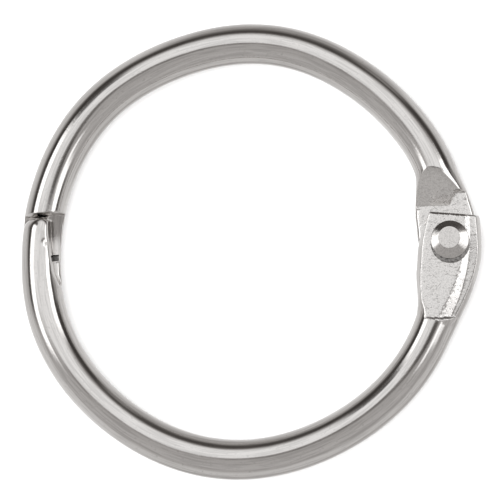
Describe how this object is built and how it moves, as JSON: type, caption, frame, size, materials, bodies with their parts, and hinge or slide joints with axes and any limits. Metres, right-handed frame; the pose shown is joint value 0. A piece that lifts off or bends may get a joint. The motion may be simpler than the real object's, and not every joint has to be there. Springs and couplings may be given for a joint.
{
  "type": "binder ring",
  "caption": "Hinged loose-leaf ring of bright nickel-plated steel wire, with riveted halves that swing open and a hooked lap that snaps shut.",
  "frame": {"origin": "middle of the closed ring, on the line from rivet to closure, half way through the wire", "axes": "+X towards the rivet, +Z out of the front face, where the large rivet head is; the upper half lies at +Y"},
  "size_m": [0.0314, 0.0308, 0.0034],
  "materials": {
    "nickel_wire": "bright nickel plate over steel wire",
    "nickel_rivet": "bright nickel plate over steel, peened"
  },
  "bodies": {
    "lower_half": {"lower_half": "nickel_wire"},
    "hinge_rivet": {"hinge_rivet": "nickel_rivet"},
    "upper_half": {"upper_half": "nickel_wire"}
  },
  "joints": [
    {"name": "ring_hinge", "type": "hinge", "parent": "lower_half", "child": "hinge_rivet", "pos_m": [0.01427, 0, 0], "axis": [0, 0, -1], "range_deg": [0, 135]},
    {"name": "side_ease", "type": "hinge", "parent": "hinge_rivet", "child": "upper_half", "pos_m": [0.01427, 0, -0.00063], "axis": [0, -1, 0], "range_deg": [0, 1], "stiffness_Nm_per_rad": 8.4}
  ]
}
